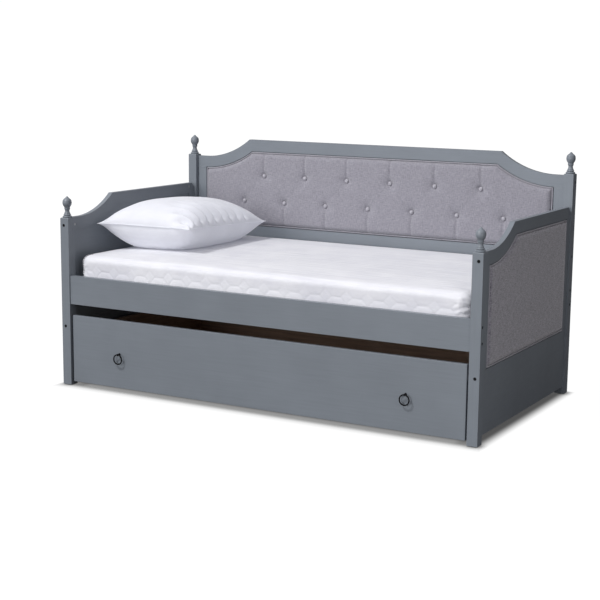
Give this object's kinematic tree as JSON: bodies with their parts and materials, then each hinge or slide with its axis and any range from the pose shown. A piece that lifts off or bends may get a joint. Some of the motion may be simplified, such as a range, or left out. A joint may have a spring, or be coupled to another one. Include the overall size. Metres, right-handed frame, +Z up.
{
  "type": "daybed",
  "caption": "Daybed with scrolled padded arms and tufted headboard, turned finials, slatted base, mattress, pillow and a roll-out trundle with ring pulls.",
  "frame": {"origin": "centre of the footprint on the floor, ring pulls included", "axes": "+X along the bed to the right seen from the front, +Y to the headboard, +Z up"},
  "size_m": [2.03, 1.075, 1.088],
  "materials": {
    "grey_paint": "satin grey paint over solid wood and board",
    "grey_upholstery": "plain-weave polyester linen look",
    "natural_wood": "bare pine",
    "brown_board": "dark brown stained board",
    "black_steel": "black oxide bolt heads",
    "black_iron": "black powder coat",
    "zinc_steel": "zinc plated",
    "wheel_nylon": "moulded black nylon",
    "glide_nylon": "moulded nylon",
    "bumper_nylon": "moulded white nylon",
    "webbing": "woven polyester strap",
    "mattress_ticking": "quilted knit ticking",
    "pillow_cotton": "brushed cotton sateen"
  },
  "bodies": {
    "bedstead": {"front_left_post": "grey_paint", "front_right_post": "grey_paint", "rear_left_post": "grey_paint", "rear_right_post": "grey_paint", "front_left_finial": "grey_paint", "front_right_finial": "grey_paint", "rear_left_finial": "grey_paint", "rear_right_finial": "grey_paint", "foot_glides": "glide_nylon", "post_bumper": "bumper_nylon", "front_rail": "grey_paint", "rear_rail": "grey_paint", "bed_cleats": "natural_wood", "bed_slats": "natural_wood", "slat_webbing": "webbing", "headboard_top_rail": "grey_paint", "headboard_left_stile": "grey_paint", "headboard_right_stile": "grey_paint", "headboard_bottom_rail": "grey_paint", "headboard_backing": "grey_paint", "headboard_cushion": "grey_upholstery", "headboard_piping": "grey_upholstery", "headboard_buttons": "grey_upholstery", "left_arm_top_rail": "grey_paint", "left_arm_front_stile": "grey_paint", "left_arm_rear_stile": "grey_paint", "left_arm_lower_panel": "grey_paint", "left_arm_backing": "grey_paint", "left_arm_cushion": "grey_upholstery", "left_arm_piping": "grey_upholstery", "right_arm_top_rail": "grey_paint", "right_arm_front_stile": "grey_paint", "right_arm_rear_stile": "grey_paint", "right_arm_lower_panel": "grey_paint", "right_arm_backing": "grey_paint", "right_arm_cushion": "grey_upholstery", "right_arm_piping": "grey_upholstery", "arm_bolts": "black_steel", "rail_bolts": "black_steel", "headboard_bolts": "black_steel", "barrel_nuts": "zinc_steel", "mattress": "mattress_ticking", "pillow": "pillow_cotton"},
    "trundle": {"trundle_front": "grey_paint", "trundle_left_side": "brown_board", "trundle_right_side": "brown_board", "trundle_back": "brown_board", "trundle_cleats": "natural_wood", "trundle_centre_rail": "natural_wood", "trundle_slats": "natural_wood", "caster_housings": "zinc_steel", "caster_axles": "zinc_steel", "pull_eyelets": "black_iron"},
    "left_ring": {"left_pull_ring": "black_iron"},
    "right_ring": {"right_pull_ring": "black_iron"},
    "front_left_wheel": {"front_left_wheel": "wheel_nylon"},
    "front_right_wheel": {"front_right_wheel": "wheel_nylon"},
    "rear_left_wheel": {"rear_left_wheel": "wheel_nylon"},
    "rear_right_wheel": {"rear_right_wheel": "wheel_nylon"}
  },
  "joints": [
    {"name": "trundle_slide", "type": "slide", "parent": "bedstead", "child": "trundle", "axis": [0, -1, 0], "range_m": [0, 0.95]},
    {"name": "left_ring_hinge", "type": "hinge", "parent": "trundle", "child": "left_ring", "pos_m": [-0.702, -0.5325, 0.1732], "axis": [-1, 0, 0], "range_deg": [-14, 150]},
    {"name": "right_ring_hinge", "type": "hinge", "parent": "trundle", "child": "right_ring", "pos_m": [0.702, -0.5325, 0.1732], "axis": [-1, 0, 0], "range_deg": [-14, 150]},
    {"name": "front_left_wheel_spin", "type": "hinge", "parent": "trundle", "child": "front_left_wheel", "pos_m": [-0.903, -0.4105, 0.025], "axis": [1, 0, 0], "continuous": true},
    {"name": "front_right_wheel_spin", "type": "hinge", "parent": "trundle", "child": "front_right_wheel", "pos_m": [0.903, -0.4105, 0.025], "axis": [1, 0, 0], "continuous": true},
    {"name": "rear_left_wheel_spin", "type": "hinge", "parent": "trundle", "child": "rear_left_wheel", "pos_m": [-0.903, 0.3895, 0.025], "axis": [1, 0, 0], "continuous": true},
    {"name": "rear_right_wheel_spin", "type": "hinge", "parent": "trundle", "child": "rear_right_wheel", "pos_m": [0.903, 0.3895, 0.025], "axis": [1, 0, 0], "continuous": true}
  ],
  "couplings": [
    {"joint": "front_left_wheel_spin", "follows": "trundle_slide", "rad_per_m": 40},
    {"joint": "front_right_wheel_spin", "follows": "trundle_slide", "rad_per_m": 40},
    {"joint": "rear_left_wheel_spin", "follows": "trundle_slide", "rad_per_m": 40},
    {"joint": "rear_right_wheel_spin", "follows": "trundle_slide", "rad_per_m": 40}
  ]
}
